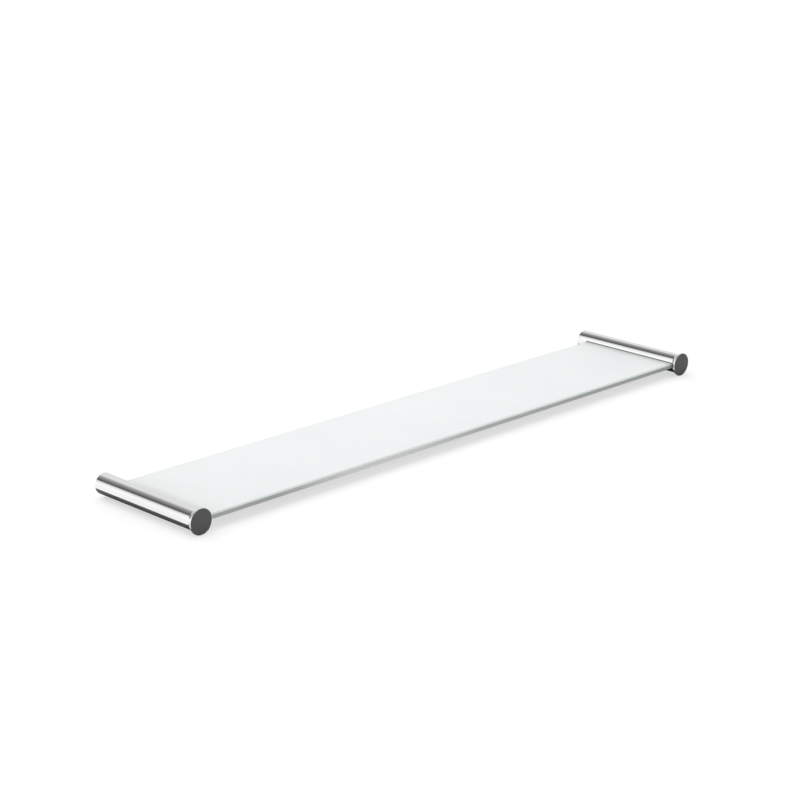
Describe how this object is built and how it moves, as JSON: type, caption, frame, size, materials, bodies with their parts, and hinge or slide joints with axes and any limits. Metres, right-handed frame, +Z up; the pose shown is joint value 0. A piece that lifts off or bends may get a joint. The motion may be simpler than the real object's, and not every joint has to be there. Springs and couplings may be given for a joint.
{
  "type": "wall shelf with brackets",
  "caption": "Slim satin glass wall shelf held at both ends in slotted round chrome tube brackets with flared, dark disc-capped front ends.",
  "frame": {"origin": "on the wall's surface, midway between the two brackets, at the height of the tubes' axes", "axes": "+X along the shelf to the right as seen from the front, +Y into the wall, +Z up; the front discs face -Y"},
  "size_m": [0.614, 0.122, 0.022],
  "materials": {
    "satin_glass": "acid-etched satin faces, ground edges",
    "chrome": "polished",
    "dark_lacquer": "satin dark grey lacquer",
    "dark_seal": "dark grey soft profile",
    "nylon": "natural moulded",
    "steel": "turned"
  },
  "bodies": {
    "root": {"glass_shelf": "satin_glass", "left_bracket_tube": "chrome", "left_front_disc": "dark_lacquer", "left_slot_gasket": "dark_seal", "left_rear_sleeve": "steel", "left_wall_spigot": "steel", "left_mount_grub_screw": "steel", "left_clamp_bar": "steel", "left_clamp_screw_front": "steel", "left_clamp_screw_rear": "steel", "left_clamp_pad_front": "nylon", "left_clamp_pad_rear": "nylon", "right_bracket_tube": "chrome", "right_front_disc": "dark_lacquer", "right_slot_gasket": "dark_seal", "right_rear_sleeve": "steel", "right_wall_spigot": "steel", "right_mount_grub_screw": "steel", "right_clamp_bar": "steel", "right_clamp_screw_front": "steel", "right_clamp_screw_rear": "steel", "right_clamp_pad_front": "nylon", "right_clamp_pad_rear": "nylon"}
  },
  "joints": []
}
